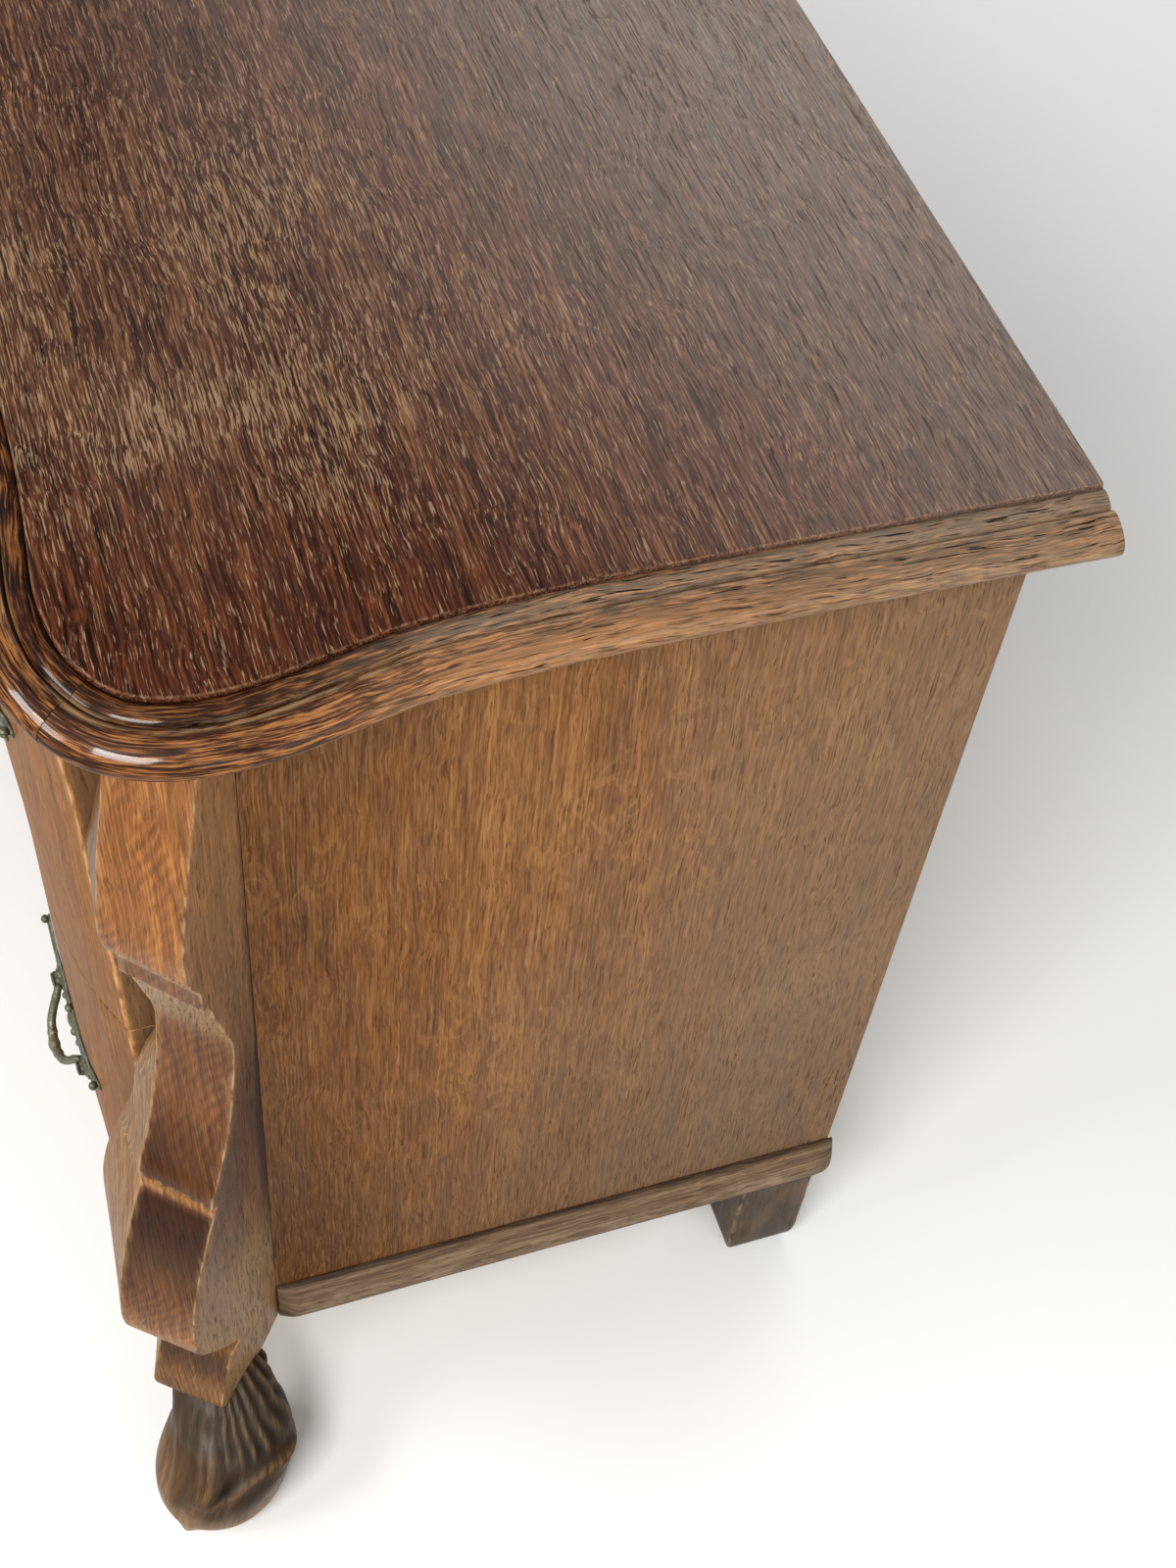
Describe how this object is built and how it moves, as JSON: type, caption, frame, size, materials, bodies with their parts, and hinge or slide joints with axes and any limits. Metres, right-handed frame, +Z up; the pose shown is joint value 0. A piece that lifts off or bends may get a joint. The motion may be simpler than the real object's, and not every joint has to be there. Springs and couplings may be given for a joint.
{
  "type": "bombe chest of drawers",
  "caption": "Oak bombe chest of drawers with serpentine front, scrolled corner legs on carved feet, shaped moulded top and swinging brass bail handles.",
  "frame": {"origin": "floor level, at the middle of the bounding box in plan", "axes": "+Z up, -Y towards the front, the way the drawers open, +X towards the viewer's right when facing the drawers"},
  "size_m": [1.0714, 0.5494, 0.8],
  "materials": {
    "oak_top": "worn satin varnish, dark reddish brown",
    "oak_edge": "gloss varnish, dark with tan streaks",
    "oak_side": "satin varnish, mid brown",
    "oak_leg": "satin varnish, orange brown",
    "oak_foot": "satin varnish, dark brown with worn ridges",
    "oak_front": "satin varnish, light tan brown",
    "oak_inner": "bare oak",
    "brass": "aged, grey-green patina",
    "steel": "dull"
  },
  "bodies": {
    "carcass": {"top_panel": "oak_top", "top_edge_front": "oak_edge", "top_edge_left": "oak_edge", "top_edge_right": "oak_edge", "side_panel_left": "oak_side", "side_panel_right": "oak_side", "leg_front_left": "oak_leg", "leg_front_right": "oak_leg", "foot_front_left": "oak_foot", "foot_front_right": "oak_foot", "foot_rear_left": "oak_foot", "foot_rear_right": "oak_foot", "rear_post_left": "oak_inner", "rear_post_right": "oak_inner", "base_moulding_left": "oak_side", "base_moulding_right": "oak_side", "apron_front": "oak_front", "top_rail_front": "oak_front", "middle_rail": "oak_inner", "back_panel": "oak_inner", "bottom_board": "oak_inner", "dust_board": "oak_inner", "runner_lower_left": "oak_inner", "runner_lower_right": "oak_inner", "runner_upper_left": "oak_inner", "runner_upper_right": "oak_inner"},
    "lower_drawer": {"lower_drawer_front": "oak_front", "lower_drawer_side_left": "oak_inner", "lower_drawer_side_right": "oak_inner", "lower_drawer_back": "oak_inner", "lower_drawer_bottom": "oak_inner", "lower_drawer_lock": "steel", "lower_drawer_key_plate": "brass", "lower_drawer_plate_left": "brass", "lower_drawer_plate_right": "brass"},
    "lower_bolt": {"lower_drawer_lock_bolt": "steel"},
    "lower_bail_left": {"lower_drawer_bail_left": "brass"},
    "lower_bail_right": {"lower_drawer_bail_right": "brass"},
    "upper_drawer": {"upper_drawer_front": "oak_front", "upper_drawer_side_left": "oak_inner", "upper_drawer_side_right": "oak_inner", "upper_drawer_back": "oak_inner", "upper_drawer_bottom": "oak_inner", "upper_drawer_lock": "steel", "upper_drawer_key_plate": "brass", "upper_drawer_plate_left": "brass", "upper_drawer_plate_right": "brass"},
    "upper_bolt": {"upper_drawer_lock_bolt": "steel"},
    "upper_bail_left": {"upper_drawer_bail_left": "brass"},
    "upper_bail_right": {"upper_drawer_bail_right": "brass"}
  },
  "joints": [
    {"name": "lower_drawer_slide", "type": "slide", "parent": "carcass", "child": "lower_drawer", "axis": [0, -1, 0], "range_m": [0, 0.3]},
    {"name": "lower_bolt_slide", "type": "slide", "parent": "lower_drawer", "child": "lower_bolt", "axis": [0, 0, 1], "range_m": [0, 0.008]},
    {"name": "lower_bail_left_hinge", "type": "hinge", "parent": "lower_drawer", "child": "lower_bail_left", "pos_m": [-0.2622, -0.25022, 0.263], "axis": [-0.9989, 0.047, 0], "range_deg": [0, 110]},
    {"name": "lower_bail_right_hinge", "type": "hinge", "parent": "lower_drawer", "child": "lower_bail_right", "pos_m": [0.2622, -0.25022, 0.263], "axis": [-0.9989, -0.047, 0], "range_deg": [0, 110]},
    {"name": "upper_drawer_slide", "type": "slide", "parent": "carcass", "child": "upper_drawer", "axis": [0, -1, 0], "range_m": [0, 0.3]},
    {"name": "upper_bolt_slide", "type": "slide", "parent": "upper_drawer", "child": "upper_bolt", "axis": [0, 0, 1], "range_m": [0, 0.008]},
    {"name": "upper_bail_left_hinge", "type": "hinge", "parent": "upper_drawer", "child": "upper_bail_left", "pos_m": [-0.2622, -0.25869, 0.628], "axis": [-0.9989, 0.0459, 0], "range_deg": [0, 110]},
    {"name": "upper_bail_right_hinge", "type": "hinge", "parent": "upper_drawer", "child": "upper_bail_right", "pos_m": [0.2622, -0.25869, 0.628], "axis": [-0.9989, -0.0459, 0], "range_deg": [0, 110]}
  ]
}
